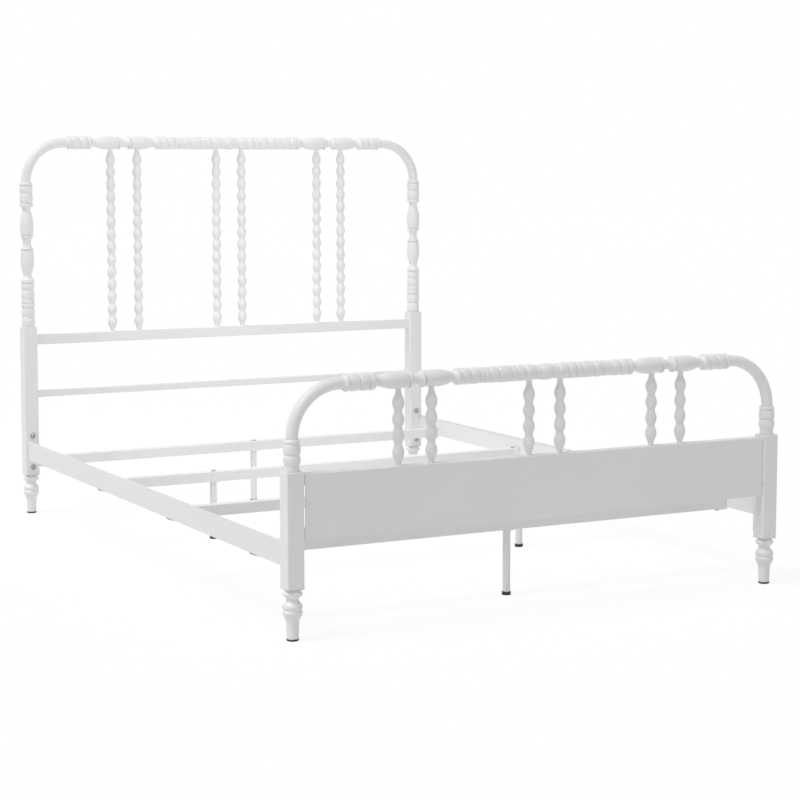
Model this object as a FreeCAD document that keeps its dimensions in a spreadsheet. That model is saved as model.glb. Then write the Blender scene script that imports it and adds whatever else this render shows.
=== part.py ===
import FreeCAD, Part
import math
import os
import re
import Sketcher

# A white metal spindle bed: hoops of bent tube that carry turned sections at
# head and foot, beaded spindles, square posts on turned feet, and a bolted
# base of side rails, cross slats and round support legs.
# X runs across the bed, +Y to the head and +Z up. The origin is on the floor,
# midway between the posts. Lengths are in millimetres.

V = FreeCAD.Vector

SIZES = [
    ("frame_width", 1380, "between the centres of the posts, across"),
    ("frame_length", 1960, "between the centres of the posts, along"),
    # posts
    ("post_width", 44, "square tube of legs, sockets and foot posts"),
    ("post_wall", 1.5, "wall of that tube"),
    ("post_corner", 3, "outer corner radius of that tube"),
    ("cap_thickness", 2, "closed top of sockets and foot posts"),
    ("cap_bevel", 1.8, "bevel around a closed top"),
    ("post_bottom", 127, "underside of the posts over the floor"),
    ("joint_height", 500, "joint between head leg and socket"),
    ("socket_length", 94, "head socket over the joint"),
    ("foot_post_top", 400, "top of the foot posts"),
    ("insert_length", 205, "square tube that joins leg and socket"),
    ("insert_depth", 30, "how far it reaches below the lower rail"),
    ("insert_wall", 2, "its wall"),
    ("insert_play", 0.2, "gap around it"),
    # rails of the headboard
    ("upper_rail_height", 31, "rail under the head spindles"),
    ("upper_rail_depth", 20, "the same rail, front to back"),
    ("upper_rail_drop", 26, "its top below the top of the sockets"),
    ("lower_rail_size", 20, "square rail between the head legs"),
    ("lower_rail_bottom", 130, "from the joint down to its underside"),
    ("crossbar_rail_wall", 1.5, "wall of rails, crossbars and slats"),
    ("crossbar_rail_corner", 1.5, "their corner radius"),
    # hoops
    ("head_bend", 124, "bend radius of the head hoop's axis"),
    ("foot_bend", 124, "bend radius of the foot hoop's axis"),
    ("hoop_tube", 30, "plain bent tube"),
    ("hoop_core", 20, "the same tube drawn down inside the turnings"),
    ("hoop_play", 0.3, "gap around the core"),
    ("hoop_tail", 32, "core inside sockets and foot posts"),
    ("head_plain_run", 10, "plain tube between head bend and turning"),
    ("foot_plain_run", 8, "plain tube between foot bend and turning"),
    # turnings, with one bead_run or ring_run from groove to groove
    ("turned_ring", 42, "diameter of rings"),
    ("turned_bead", 42, "diameter of beads"),
    ("turned_groove", 36, "diameter between them"),
    ("turned_neck", 26, "thinnest diameter"),
    ("vase_swell", 42, "widest diameter of a vase"),
    ("vase_shoulder", 38, "diameter of a vase at its short end"),
    ("bobbin", 41, "diameter of the bobbins of a top turning"),
    ("bobbin_groove", 35, "diameter between bobbins"),
    ("bobbin_ring", 39, "diameter of the rings among the bobbins"),
    ("ring_run", 13, "ring with its two slopes"),
    ("ring_width", 6, "flat of a ring"),
    ("bead_run", 25, "bead"),
    ("low_bead_run", 30.5, "bead at the base of a head side turning"),
    ("neck_slope", 8, "from ring to neck"),
    ("neck_run", 9, "neck"),
    ("swell_run", 42, "vase from neck to its widest"),
    ("shoulder_run", 36, "vase from its widest to the shoulder"),
    ("cove_run", 22.5, "from shoulder to the middle of a side turning"),
    ("top_cove_run", 22.5, "the same in a top turning"),
    ("bobbin_pitch", 26, "bobbin, stretched with its neighbours to fill the top"),
    ("big_bobbin_run", 34, "larger bobbin, stretched in the same way"),
    ("bobbin_ring_run", 14, "ring among the bobbins, stretched in the same way"),
    ("bobbin_band_run", 18, "plain band among the bobbins, stretched in the same way"),
    ("flare_run", 13, "foot of a foot side turning"),
    # spindles
    ("spindle_spacing", 90, "between the two of a pair"),
    ("pair_offset", 365, "middle of an outer pair from the bed's middle"),
    ("spindle_bead", 29.5, "diameter of beads"),
    ("spindle_neck", 20, "diameter between beads"),
    ("spindle_end", 14, "diameter of ends"),
    ("spindle_first", 32, "first bead over the seat"),
    ("head_spindle_last", 34, "last bead below the turning"),
    ("foot_spindle_last", 35, "last bead below the turning"),
    ("spindle_pitch", 39.7, "about one bead, evened out"),
    ("tenon_play", 0.2, "gap around a spindle's top"),
    ("tenon_shoulder", 2, "how far a spindle's taper reaches into the turning"),
    # foot panel
    ("panel_height", 155, "folded panel between the foot posts"),
    ("panel_top", 6, "its top below the tops of the foot posts"),
    ("panel_depth", 30, "its flanges, front to back"),
    ("panel_thickness", 1.5, "its sheet"),
    ("panel_fold", 2, "outer radius of its folds"),
    ("panel_setback", 5, "its face behind the faces of the posts"),
    ("panel_gap", 4, "gap at each end"),
    ("crossbar_size", 25, "square tubes behind the panel"),
    # side rails
    ("rail_outer", 16, "outer face of a rail beyond the posts' centres"),
    ("rail_thickness", 2.5, "folded steel"),
    ("rail_height", 59, "web of a rail"),
    ("rail_top", 34, "top of a rail over the middle of its end plates"),
    ("rail_flange", 4, "flange of a rail"),
    ("splice_shift", 0, "splice of the rails from the bed's middle"),
    ("plate_thickness", 4, "end plate"),
    ("plate_width", 38, "end plate, across"),
    ("plate_height", 128, "end plate"),
    ("plate_middle", 73, "its middle over the underside of the posts"),
    ("plate_corner", 4, "its corner radius"),
    ("bolt_spacing", 100, "between its two bolts"),
    ("splice_length", 150, "plate inside the splice of a rail"),
    ("splice_height", 44, "the same plate"),
    ("splice_thickness", 3, "the same plate"),
    ("splice_drop", 6, "its top below the rail's flange"),
    ("splice_bolt_first", 24, "first bolt from the splice"),
    ("splice_bolt_step", 34, "from first to second bolt"),
    ("splice_hole_depth", 2, "threaded hole in the rail's web, blind"),
    # slats
    ("slat_size", 30, "square tube"),
    ("slat_bottom", 62, "underside of the slats below the top of the rails"),
    ("slat_head", 140, "slat 1 from the axis of the head posts"),
    ("slat_upper", 300, "slat 2 from the bed's middle, towards the head"),
    ("slat_lower", 235, "slat 3 from the bed's middle, towards the foot"),
    ("slat_foot", 200, "slat 4 from the axis of the foot posts"),
    ("slat_gap", 3.5, "between a slat's end and the rail's web"),
    ("bracket_thickness", 2, "slat bracket"),
    ("bracket_play", 0.3, "gap beside the slat"),
    ("bracket_length", 27.5, "bracket from the web inwards"),
    ("bracket_height", 24, "its cheeks over the slat's underside"),
    ("slat_bolt_inset", 19.5, "slat bolt from the rail's web"),
    # support legs
    ("leg_tube", 20, "round tube"),
    ("leg_wall", 1.5, "its wall"),
    ("saddle_width", 22, "saddle under a slat, across the bed"),
    ("saddle_thickness", 2, "its plate"),
    ("saddle_height", 22, "its cheeks over the slat's underside"),
    ("leg_head", 20, "place of the leg under slat 1, across"),
    ("leg_upper", -350, "place of the leg under slat 2"),
    ("leg_lower", 383, "place of the leg under slat 3"),
    ("leg_foot", 13, "place of the leg under slat 4"),
    ("leg_glide", 24, "glide cup, outer diameter"),
    ("leg_glide_height", 9, "glide cup"),
    ("leg_glide_floor", 4, "its floor"),
    # turned feet, from the floor up
    ("glide", 30, "diameter of a post's glide"),
    ("glide_height", 5, "the same glide"),
    ("glide_edge", 2, "its rounded lower edge"),
    ("stem", 10, "its stem"),
    ("stem_length", 15, "its stem"),
    ("ankle", 29, "foot at the glide"),
    ("ankle_top", 32, "foot under its lower bead"),
    ("ankle_run", 40.5, "between those two"),
    ("cup_run", 22.5, "from there to the lower bead"),
    ("foot_bead", 48, "beads of a foot"),
    ("foot_groove", 44, "between the lower beads"),
    ("foot_groove_run", 7, "from lower bead to groove"),
    ("foot_bead_run", 8, "from groove to bead"),
    ("foot_neck", 30, "neck of a foot"),
    ("foot_neck_run", 14.5, "from bead to neck and on to the next bead"),
    ("foot_collar", 34, "foot under its flange"),
    ("foot_collar_run", 12, "from the upper bead to the flange"),
    ("foot_flange", 3, "square flange under the post"),
    ("plug_height", 10, "square plug inside the post"),
    ("plug_play", 0.3, "gap around the plug"),
    # fasteners
    ("bolt", 8, "shank"),
    ("bolt_head", 14, "head"),
    ("bolt_head_height", 5.5, "head"),
    ("bolt_play", 0.3, "gap around a shank"),
    ("washer", 18, "washer under a head"),
    ("washer_thickness", 1.6, "washer"),
    ("rail_bolt_reach", 12, "shank beyond the face of a post"),
    ("nut_width", 13, "across flats"),
    ("nut_height", 4, "nut"),
    ("stud_reach", 5, "slat bolt below its bracket"),
    ("leg_bolt_reach", 8, "leg bolt below its saddle"),
    ("screw", 6, "shank of an insert's screw"),
    ("screw_head", 12, "its head"),
    ("screw_reach", 4, "its end beyond the insert's wall"),
    ("screw_height", 10, "from its axis up to the underside of the lower rail"),
]
NAMES = {name for name, number, meaning in SIZES}

doc = FreeCAD.newDocument("SpindleBed")
sheet = doc.addObject("Spreadsheet::Sheet", "Sizes")
for row, (name, number, meaning) in enumerate(SIZES, 1):
    sheet.set("A%d" % row, str(number))
    sheet.set("B%d" % row, "'" + meaning)
    sheet.setAlias("A%d" % row, name)
doc.recompute()

nodes = []


# ---------------------------------------------------------------- helpers

def bind(text):
    """An expression that names sizes, with the sheet's name before each of them."""
    def prefix(word):
        return "Sizes." + word.group() if word.group() in NAMES else word.group()
    return re.sub(r"[a-z]\w*", prefix, text)


def value(text):
    """What an expression amounts to now."""
    return float(sheet.evalExpression(bind(text)))


def node(label, thing):
    """Name a finished piece and list it for writing."""
    thing.Label = label
    nodes.append(thing)
    return thing


def place(thing, x="0", y="0", z="0", turn=None):
    """Put a piece at a place given by expressions, turned by an (axis, angle) pair."""
    rotation = FreeCAD.Rotation(*turn) if turn else FreeCAD.Rotation()
    thing.Placement = FreeCAD.Placement(V(value(x), value(y), value(z)), rotation)
    for letter, text in (("x", x), ("y", y), ("z", z)):
        if text != "0":
            thing.setExpression("Placement.Base." + letter, bind(text))


ALONG_X = (V(0, 1, 0), 90)
ROUND = (V(0, 0, 1), 180)
DOWN_TO_X = (V(0, 1, 0), -90)
DOWN_TO_MINUS_X = (V(0, 1, 0), 90)
DOWN_TO_Y = (V(1, 0, 0), 90)
DOWN_TO_MINUS_Y = (V(1, 0, 0), -90)


def new_body(name):
    return doc.addObject("PartDesign::Body", name)


def new_sketch(body, plane, offset="0"):
    """An empty sketch on one of a body's own planes, moved along its normal."""
    sketch = body.newObject("Sketcher::SketchObject", "Sketch")
    support = [item for item in body.Origin.OriginFeatures if item.Role == plane]
    sketch.AttachmentSupport = (support[0], [""])
    sketch.MapMode = "FlatFace"
    if offset != "0":
        sketch.setExpression(".AttachmentOffset.Base.z", bind(offset))
    return sketch


class Dimensions:
    """Constraints of one sketch, added together and then bound to the sheet."""

    def __init__(self, sketch):
        self.sketch = sketch
        self.constraints = []
        self.bindings = []

    def add(self, *terms):
        self.constraints.append(Sketcher.Constraint(*terms))

    def size(self, kind, *terms_and_text):
        """A dimension whose last term is an expression."""
        *terms, text = terms_and_text
        self.bindings.append((len(self.constraints), text))
        self.add(kind, *terms, value(text))

    def from_origin(self, kind, geometry, point, text):
        """Hold one coordinate of a point, on whichever side of the origin it lies."""
        number = value(text)
        if abs(number) < 1e-9:
            axis = -2 if kind == "DistanceX" else -1
            self.add("PointOnObject", geometry, point, axis)
        elif number > 0:
            self.size(kind, -1, 1, geometry, point, text)
        else:
            self.size(kind, geometry, point, -1, 1, "-(" + text + ")")

    def at(self, geometry, point, x, y):
        self.from_origin("DistanceX", geometry, point, x)
        self.from_origin("DistanceY", geometry, point, y)

    def apply(self):
        first = self.sketch.ConstraintCount
        self.sketch.addConstraint(self.constraints)
        for index, text in self.bindings:
            self.sketch.setExpression("Constraints[%d]" % (first + index), bind(text))


def close_chain(dimensions, first, count):
    """Join the ends of the lines of an outline."""
    for index in range(count):
        following = (index + 1) % count
        dimensions.add("Coincident", first + index, 2, first + following, 1)


def polygon(sketch, corners):
    """A closed outline through corners, each a pair of expressions."""
    points = [V(value(x), value(y), 0) for x, y in corners]
    first = sketch.GeometryCount
    following = points[1:] + points[:1]
    sketch.addGeometry([Part.LineSegment(a, b) for a, b in zip(points, following)], False)
    dimensions = Dimensions(sketch)
    close_chain(dimensions, first, len(points))
    for index, (x, y) in enumerate(corners):
        dimensions.at(first + index, 1, x, y)
    dimensions.apply()


def rectangle(sketch, width, height):
    """A rectangle centred on the sketch's origin."""
    left, right = "-(%s)/2" % width, "(%s)/2" % width
    low, high = "-(%s)/2" % height, "(%s)/2" % height
    polygon(sketch, [(left, low), (right, low), (right, high), (left, high)])


def circle(sketch, x, y, diameter):
    centre = V(value(x), value(y), 0)
    index = sketch.GeometryCount
    sketch.addGeometry(Part.Circle(centre, V(0, 0, 1), value(diameter) / 2), False)
    dimensions = Dimensions(sketch)
    dimensions.at(index, 3, x, y)
    dimensions.size("Diameter", index, diameter)
    dimensions.apply()


def pad(body, sketch, length, symmetric=False, backwards=False):
    feature = body.newObject("PartDesign::Pad", "Pad")
    feature.Profile = sketch
    feature.setExpression("Length", bind(length))
    feature.Reversed = backwards
    if symmetric:
        feature.SideType = "Symmetric"
    return feature


def pocket(body, sketch, depth, backwards=False):
    """Cut a sketch into a body, by default against the sketch's normal."""
    doc.recompute()
    before = body.Shape.Volume
    feature = body.newObject("PartDesign::Pocket", "Pocket")
    feature.Profile = sketch
    feature.setExpression("Length", bind(depth))
    feature.Reversed = backwards
    doc.recompute()
    if not body.Shape.Volume < before:
        raise ValueError("a pocket of %s cuts nothing" % body.Name)
    return feature


def drill(body, plane, offset, spots, diameter, depth, backwards=False):
    """Round holes at spots of a plane of the body."""
    sketch = new_sketch(body, plane, offset)
    for x, y in spots:
        circle(sketch, x, y, diameter)
    return pocket(body, sketch, depth, backwards)


def long_edges(feature, direction, length):
    """Names of the straight edges of a feature that run one way at a given length."""
    doc.recompute()
    names = []
    for index, edge in enumerate(feature.Shape.Edges, 1):
        box = edge.BoundBox
        span = {"x": box.XLength, "y": box.YLength, "z": box.ZLength}
        if abs(span.pop(direction) - value(length)) < 1e-6 and max(span.values()) < 1e-6:
            names.append("Edge%d" % index)
    return names


def fillet(body, feature, edges, radius):
    rounding = body.newObject("PartDesign::Fillet", "Fillet")
    rounding.Base = (feature, edges)
    rounding.setExpression("Radius", bind(radius))
    return rounding


def square_tube(name, width, depth, wall, length, corner, cap=None):
    """Tube along the body's Z from its origin: width on X, depth on Y, open or capped."""
    body = new_body(name)
    outline = new_sketch(body, "XY_Plane")
    rectangle(outline, width, depth)
    bar = pad(body, outline, length)
    rounded = fillet(body, bar, long_edges(bar, "z", length), corner)
    hollow = length
    if cap:
        doc.recompute()
        top = value(length)
        rim = [
            "Edge%d" % index
            for index, edge in enumerate(rounded.Shape.Edges, 1)
            if edge.BoundBox.ZMin > top - 1e-6
        ]
        bevel = body.newObject("PartDesign::Chamfer", "Chamfer")
        bevel.Base = (rounded, rim)
        bevel.setExpression("Size", bind("cap_bevel"))
        hollow = "%s - %s" % (length, cap)
    inside = new_sketch(body, "XY_Plane")
    rectangle(inside, "%s - 2*%s" % (width, wall), "%s - 2*%s" % (depth, wall))
    pocket(body, inside, hollow, backwards=True)
    return body


def turned(name, stations, bore=None):
    """A piece turned about Z, from its origin up.

    Each station is a pair: diameter, and run from the station before it. A run
    of "0" is a square step. With no bore the piece is solid.
    """
    body = new_body(name)
    sketch = new_sketch(body, "XZ_Plane")
    heights = [0.0]
    for diameter, run in stations[1:]:
        heights.append(heights[-1] + value(run))
    points = [V(value(d) / 2, z, 0) for (d, run), z in zip(stations, heights)]
    inner = value(bore) / 2 if bore else 0.0
    points += [V(inner, heights[-1], 0), V(inner, 0, 0)]
    following = points[1:] + points[:1]
    sketch.addGeometry([Part.LineSegment(a, b) for a, b in zip(points, following)], False)

    outer = len(stations)
    dimensions = Dimensions(sketch)
    close_chain(dimensions, 0, len(points))
    dimensions.add("PointOnObject", 0, 1, -1)
    for index, (diameter, run) in enumerate(stations):
        dimensions.from_origin("DistanceX", index, 1, "(%s)/2" % diameter)
        if index and run == "0":
            dimensions.add("Horizontal", index - 1)
        elif index:
            dimensions.size("DistanceY", index - 1, 1, index, 1, run)
    dimensions.add("Horizontal", outer - 1)
    dimensions.from_origin("DistanceX", outer, 1, "(%s)/2" % bore if bore else "0")
    dimensions.add("Vertical", outer)
    dimensions.add("Horizontal", outer + 1)
    dimensions.apply()

    feature = body.newObject("PartDesign::Revolution", "Revolution")
    feature.Profile = sketch
    feature.ReferenceAxis = (sketch, ["V_Axis"])
    feature.Angle = 360
    return body


def copies(label, master, spots):
    """One node of several separate solids: a copy of the master at each spot."""
    links = []
    for x, y, z, turn in spots:
        link = doc.addObject("App::Link", label + "_copy")
        link.LinkedObject = master
        place(link, x, y, z, turn)
        links.append(link)
    group = doc.addObject("Part::Compound", label)
    group.Links = links
    return node(label, group)


# Places that several pieces share
HALF_WIDTH = "frame_width/2"
HALF_LENGTH = "frame_length/2"
SIDES = {"left": "-", "right": ""}
INNER_FACE = "(frame_width - post_width)"
SOCKET_TOP = "(joint_height + socket_length)"
HEAD_SEAT = "(joint_height + socket_length - upper_rail_drop)"
HEAD_TURNING = (
    "(4*bead_run + 4*ring_run + ring_width + 2*low_bead_run"
    " + 2*(neck_slope + neck_run + swell_run + shoulder_run + cove_run))"
)
FOOT_TURNING = "(2*bead_run + ring_run + flare_run)"
BORE = "hoop_core + 2*hoop_play"
HEAD_TOP = "(joint_height + socket_length + %s + head_bend)" % HEAD_TURNING
FOOT_TOP = "(foot_post_top + %s + foot_bend)" % FOOT_TURNING
LOWER_RAIL = "(joint_height - lower_rail_bottom)"
INSERT_BOTTOM = "(joint_height - lower_rail_bottom - insert_depth)"
SCREW_AXIS = "(joint_height - lower_rail_bottom - screw_height)"
PANEL_TOP = "(foot_post_top - panel_top)"
PLATE_MIDDLE = "(post_bottom + plate_middle)"
RAIL_BOLTS = ["(%s %s bolt_spacing/2)" % (PLATE_MIDDLE, sign) for sign in "-+"]
RAIL_TOP = "(post_bottom + plate_middle + rail_top)"
WEB = "(frame_width/2 + rail_outer - rail_thickness)"
SPLICE_MIDDLE = "(%s - rail_thickness - splice_drop - splice_height/2)" % RAIL_TOP
SPLICE_STEP = "(splice_bolt_first + splice_bolt_step)"
SPLICE_BOLTS = ["-" + SPLICE_STEP, "-splice_bolt_first", "splice_bolt_first", SPLICE_STEP]
SLAT_BOTTOM = "(%s - slat_bottom)" % RAIL_TOP
SLATS = [
    "(frame_length/2 - slat_head)", "slat_upper", "-slat_lower", "(slat_foot - frame_length/2)"
]
LEGS = ["leg_head", "leg_upper", "leg_lower", "leg_foot"]


# ---------------------------------------------------------------- turnings

def beads(count, run="bead_run"):
    """Beads in a row, each from groove to groove."""
    return [("turned_bead", run + "/2"), ("turned_groove", run + "/2")] * count


def rings(count):
    """Rings in a row, each from groove to groove."""
    slope = "(ring_run - ring_width)/2"
    one = [("turned_ring", slope), ("turned_ring", "ring_width"), ("turned_groove", slope)]
    return one * count


def vases(cove):
    """A ring, two vases with a cove between their shoulders, and a ring."""
    slope = "(ring_run - ring_width)/2"
    return [
        ("turned_ring", slope),
        ("turned_ring", "ring_width"),
        ("turned_neck", "neck_slope"),
        ("turned_neck", "neck_run"),
        ("vase_swell", "swell_run"),
        ("vase_shoulder", "shoulder_run"),
        ("turned_neck", cove),
        ("vase_shoulder", cove),
        ("vase_swell", "shoulder_run"),
        ("turned_neck", "swell_run"),
        ("turned_neck", "neck_run"),
        ("turned_ring", "neck_slope"),
        ("turned_ring", "ring_width"),
        ("turned_groove", slope),
    ]


def head_side_turning():
    """From the socket up: two low beads, two rings, beads, vases, beads and a ring."""
    stations = [("turned_groove", "0")]
    stations += beads(2, "low_bead_run")
    stations += rings(2)
    stations += beads(2)
    stations += vases("cove_run")
    stations += beads(2)
    stations += rings(1)
    return turned("head_side_turning", stations, BORE)


def foot_side_turning():
    """From the post up: a flare, two beads and a ring."""
    stations = [("turned_bead", "0"), ("turned_groove", "flare_run")]
    stations += beads(2)
    stations += rings(1)
    return turned("foot_side_turning", stations, BORE)


def bobbins(length):
    """Bobbins with rings and bands among them, the same from both ends, over a length."""
    bobbin = [("bobbin", "bobbin_pitch/2"), ("bobbin_groove", "bobbin_pitch/2")]
    large = [("bobbin", "big_bobbin_run/2"), ("bobbin_groove", "big_bobbin_run/2")]
    ring = [("bobbin_ring", "bobbin_ring_run/2"), ("bobbin_groove", "bobbin_ring_run/2")]
    band = [("bobbin_groove", "bobbin_band_run")]
    half = [bobbin, bobbin, ring, ring, bobbin, large, ring, bobbin, bobbin, band]
    stations = sum(half + [large] + half[::-1], [])
    total = " + ".join(run for diameter, run in stations)
    stations = [(diameter, "%s*%s/(%s)" % (run, length, total)) for diameter, run in stations]
    stations[-1] = ("turned_groove", stations[-1][1])
    return stations


def top_turning(label, half, y, top):
    """Turning of a hoop's top bar, with holes underneath for the spindles."""
    vases_run = "2*(neck_slope + neck_run + swell_run + shoulder_run + top_cove_run)"
    ends_run = "2*bead_run + 2*ring_run + ring_width + " + vases_run
    stations = [("turned_groove", "0")]
    stations += rings(1) + beads(2) + vases("top_cove_run")
    stations += bobbins("(2*(%s - (%s)))" % (half, ends_run))
    stations += vases("top_cove_run") + beads(2) + rings(1)
    body = turned(label, stations, BORE)
    spots = [("0", "%s + %s" % (half, place_x)) for place_x in spindle_places()]
    hole = "spindle_end + 2*tenon_play"
    drill(body, "YZ_Plane", "0", spots, hole, "turned_ring", backwards=True)
    place(body, "-(%s)" % half, y, top, ALONG_X)
    return node(label, body)


def spindle_places():
    """Places across the bed: a pair in the middle and a pair each side."""
    middles = ["-pair_offset", "0", "pair_offset"]
    return [middle + sign + "spindle_spacing/2" for middle in middles for sign in ("-", "+")]


def spindles(label, y, seat, top, last):
    """Beaded spindles, tapered at both ends, welded on the seat below."""
    shown = "(%s - turned_groove/2 - tenon_shoulder - %s)" % (top, seat)
    beads_run = "(%s - spindle_first - %s)" % (shown, last)
    count = max(1, round(value(beads_run) / value("spindle_pitch")))
    half = "%s/%d" % (beads_run, 2 * count)
    stations = [("spindle_end", "0"), ("spindle_bead", "spindle_first")]
    stations += [("spindle_neck", half), ("spindle_bead", half)] * count
    tenon = "turned_groove/2 + tenon_shoulder - hoop_core/2 - hoop_play"
    stations += [("spindle_end", last), ("spindle_end", tenon)]
    master = turned(label + "_master", stations)
    return copies(label, master, [(x, y, seat, None) for x in spindle_places()])


# ---------------------------------------------------------------- hoops

def hoop(label, y, base, bend, plain, top):
    """Bent tube: full diameter in its two bends, drawn down to a core elsewhere.

    Its path starts at the lower left end, and the right bend mirrors the left.
    """
    body = new_body(label)
    tail = "(%s - hoop_tail)" % base
    tangent = "(%s - %s)" % (top, bend)
    shoulder = "(frame_width/2 - %s)" % bend
    core_end = "(%s - %s)" % (shoulder, plain)

    path = new_sketch(body, "XZ_Plane")
    half, radius = value(HALF_WIDTH), value(bend)
    low, start, high = value(tail), value(tangent), value(top)
    inward, inner = value(shoulder), value(core_end)
    up = V(0, 0, 1)
    left_bend = Part.Circle(V(-inward, start, 0), up, radius)
    right_bend = Part.Circle(V(inward, start, 0), up, radius)
    quarter = math.pi / 2
    path.addGeometry([
        Part.LineSegment(V(-half, low, 0), V(-half, start, 0)),
        Part.ArcOfCircle(left_bend, quarter, 2 * quarter),
        Part.LineSegment(V(-inward, high, 0), V(-inner, high, 0)),
        Part.LineSegment(V(-inner, high, 0), V(inner, high, 0)),
        Part.LineSegment(V(inner, high, 0), V(inward, high, 0)),
        Part.ArcOfCircle(right_bend, 0, quarter),
        Part.LineSegment(V(half, start, 0), V(half, low, 0)),
    ], False)
    dimensions = Dimensions(path)
    joins = [(0, 2, 1, 2), (1, 1, 2, 1), (2, 2, 3, 1), (3, 2, 4, 1), (4, 2, 5, 2), (5, 1, 6, 1)]
    for join in joins:
        dimensions.add("Coincident", *join)
    dimensions.at(0, 1, "-" + HALF_WIDTH, tail)
    dimensions.at(1, 3, "-" + shoulder, tangent)
    dimensions.size("Radius", 1, bend)
    dimensions.add("Horizontal", 1, 3, 1, 2)
    dimensions.add("Vertical", 1, 3, 1, 1)
    dimensions.add("Horizontal", 2)
    dimensions.from_origin("DistanceX", 3, 1, "-" + core_end)
    dimensions.add("Horizontal", 3)
    dimensions.from_origin("DistanceX", 3, 2, core_end)
    dimensions.at(5, 3, shoulder, tangent)
    dimensions.size("Radius", 5, bend)
    dimensions.add("Horizontal", 5, 3, 5, 1)
    dimensions.add("Vertical", 5, 3, 5, 2)
    dimensions.add("Vertical", 6)
    dimensions.from_origin("DistanceY", 6, 2, tail)
    dimensions.apply()

    core = new_sketch(body, "XY_Plane", tail)
    circle(core, "-" + HALF_WIDTH, "0", "hoop_core")
    drawn = body.newObject("PartDesign::AdditivePipe", "Pipe")
    drawn.Profile = core
    drawn.Spine = (path, ["Edge%d" % edge for edge in range(1, 8)])

    full = new_sketch(body, "XY_Plane", tangent)
    circle(full, "-" + HALF_WIDTH, "0", "hoop_tube")
    bent = body.newObject("PartDesign::AdditivePipe", "Pipe")
    bent.Profile = full
    bent.Spine = (path, ["Edge2", "Edge3"])
    doc.recompute()

    mirrored = body.newObject("PartDesign::Mirrored", "Mirrored")
    mirrored.Originals = [bent]
    middle = [item for item in body.Origin.OriginFeatures if item.Role == "YZ_Plane"]
    mirrored.MirrorPlane = (middle[0], [""])
    body.Tip = mirrored
    place(body, "0", y, "0")
    return node(label, body)


def hoops():
    head_half = "(frame_width/2 - head_bend - head_plain_run)"
    foot_half = "(frame_width/2 - foot_bend - foot_plain_run)"
    head_y, foot_y = HALF_LENGTH, "-" + HALF_LENGTH
    hoop("head_hoop_tube", head_y, SOCKET_TOP, "head_bend", "head_plain_run", HEAD_TOP)
    hoop("foot_hoop_tube", foot_y, "foot_post_top", "foot_bend", "foot_plain_run", FOOT_TOP)
    top_turning("head_top_turning", head_half, head_y, HEAD_TOP)
    top_turning("foot_top_turning", foot_half, foot_y, FOOT_TOP)
    side = head_side_turning()
    spots = [(sign + HALF_WIDTH, head_y, SOCKET_TOP, None) for sign in SIDES.values()]
    copies("head_side_turnings", side, spots)
    side = foot_side_turning()
    spots = [(sign + HALF_WIDTH, foot_y, "foot_post_top", None) for sign in SIDES.values()]
    copies("foot_side_turnings", side, spots)
    spindles("head_spindles", head_y, HEAD_SEAT, HEAD_TOP, "head_spindle_last")
    spindles("foot_spindles", foot_y, PANEL_TOP, FOOT_TOP, "foot_spindle_last")


# ---------------------------------------------------------------- posts

def rail_bolt_spots(bottom):
    """Heights of a post's two rail bolts over its own origin."""
    return [("0", "%s - %s" % (height, bottom)) for height in RAIL_BOLTS]


def post(name, length, cap=None):
    return square_tube(name, "post_width", "post_width", "post_wall", length, "post_corner", cap)


def posts():
    """Legs, sockets and joining tubes of the headboard, and posts of the footboard."""
    face = "post_width/2"
    for side, sign in SIDES.items():
        x = sign + HALF_WIDTH
        inward = side == "left"

        leg = post("head_leg_" + side, "(joint_height - post_bottom)")
        drill(leg, "XZ_Plane", face, rail_bolt_spots("post_bottom"), "bolt", "post_wall")
        screw_spot = [("0", SCREW_AXIS + " - post_bottom")]
        wall = face if inward else "-" + face
        drill(leg, "YZ_Plane", wall, screw_spot, "screw + 2*bolt_play", "post_wall", not inward)
        place(leg, x, HALF_LENGTH, "post_bottom")
        node("head_leg_" + side, leg)

        socket = post("head_socket_" + side, "socket_length", "cap_thickness")
        drill(socket, "XY_Plane", "socket_length", [("0", "0")], BORE, "cap_thickness")
        place(socket, x, HALF_LENGTH, "joint_height")
        node("head_socket_" + side, socket)

        width = "(post_width - 2*post_wall - 2*insert_play)"
        corner = "insert_wall/2"
        insert = square_tube(
            "head_insert_" + side, width, width, "insert_wall", "insert_length", corner
        )
        screw_spot = [("0", "%s - %s" % (SCREW_AXIS, INSERT_BOTTOM))]
        wall = width + "/2" if inward else "-" + width + "/2"
        drill(insert, "YZ_Plane", wall, screw_spot, "screw", "insert_wall", not inward)
        place(insert, x, HALF_LENGTH, INSERT_BOTTOM)
        node("head_insert_" + side, insert)

        length = "(foot_post_top - post_bottom)"
        foot_post = post("foot_post_" + side, length, "cap_thickness")
        drill(foot_post, "XY_Plane", length, [("0", "0")], BORE, "cap_thickness")
        drill(
            foot_post, "XZ_Plane", "-" + face, rail_bolt_spots("post_bottom"),
            "bolt", "post_wall", backwards=True,
        )
        place(foot_post, x, "-" + HALF_LENGTH, "post_bottom")
        node("foot_post_" + side, foot_post)


def bar(label, height, depth, length, y, z, corner="crossbar_rail_corner"):
    """Straight tube across the bed, centred on its middle: z is its axis."""
    body = square_tube(label, height, depth, "crossbar_rail_wall", length, corner)
    place(body, "-(%s)/2" % length, y, z, ALONG_X)
    return node(label, body)


def headboard_rails():
    length = INNER_FACE
    upper_axis = HEAD_SEAT + " - upper_rail_height/2"
    lower_axis = LOWER_RAIL + " + lower_rail_size/2"
    bar("head_upper_rail", "upper_rail_height", "upper_rail_depth", length,
        HALF_LENGTH, upper_axis)
    bar("head_lower_rail", "lower_rail_size", "lower_rail_size", length,
        HALF_LENGTH, lower_axis)


# ---------------------------------------------------------------- foot panel

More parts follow.
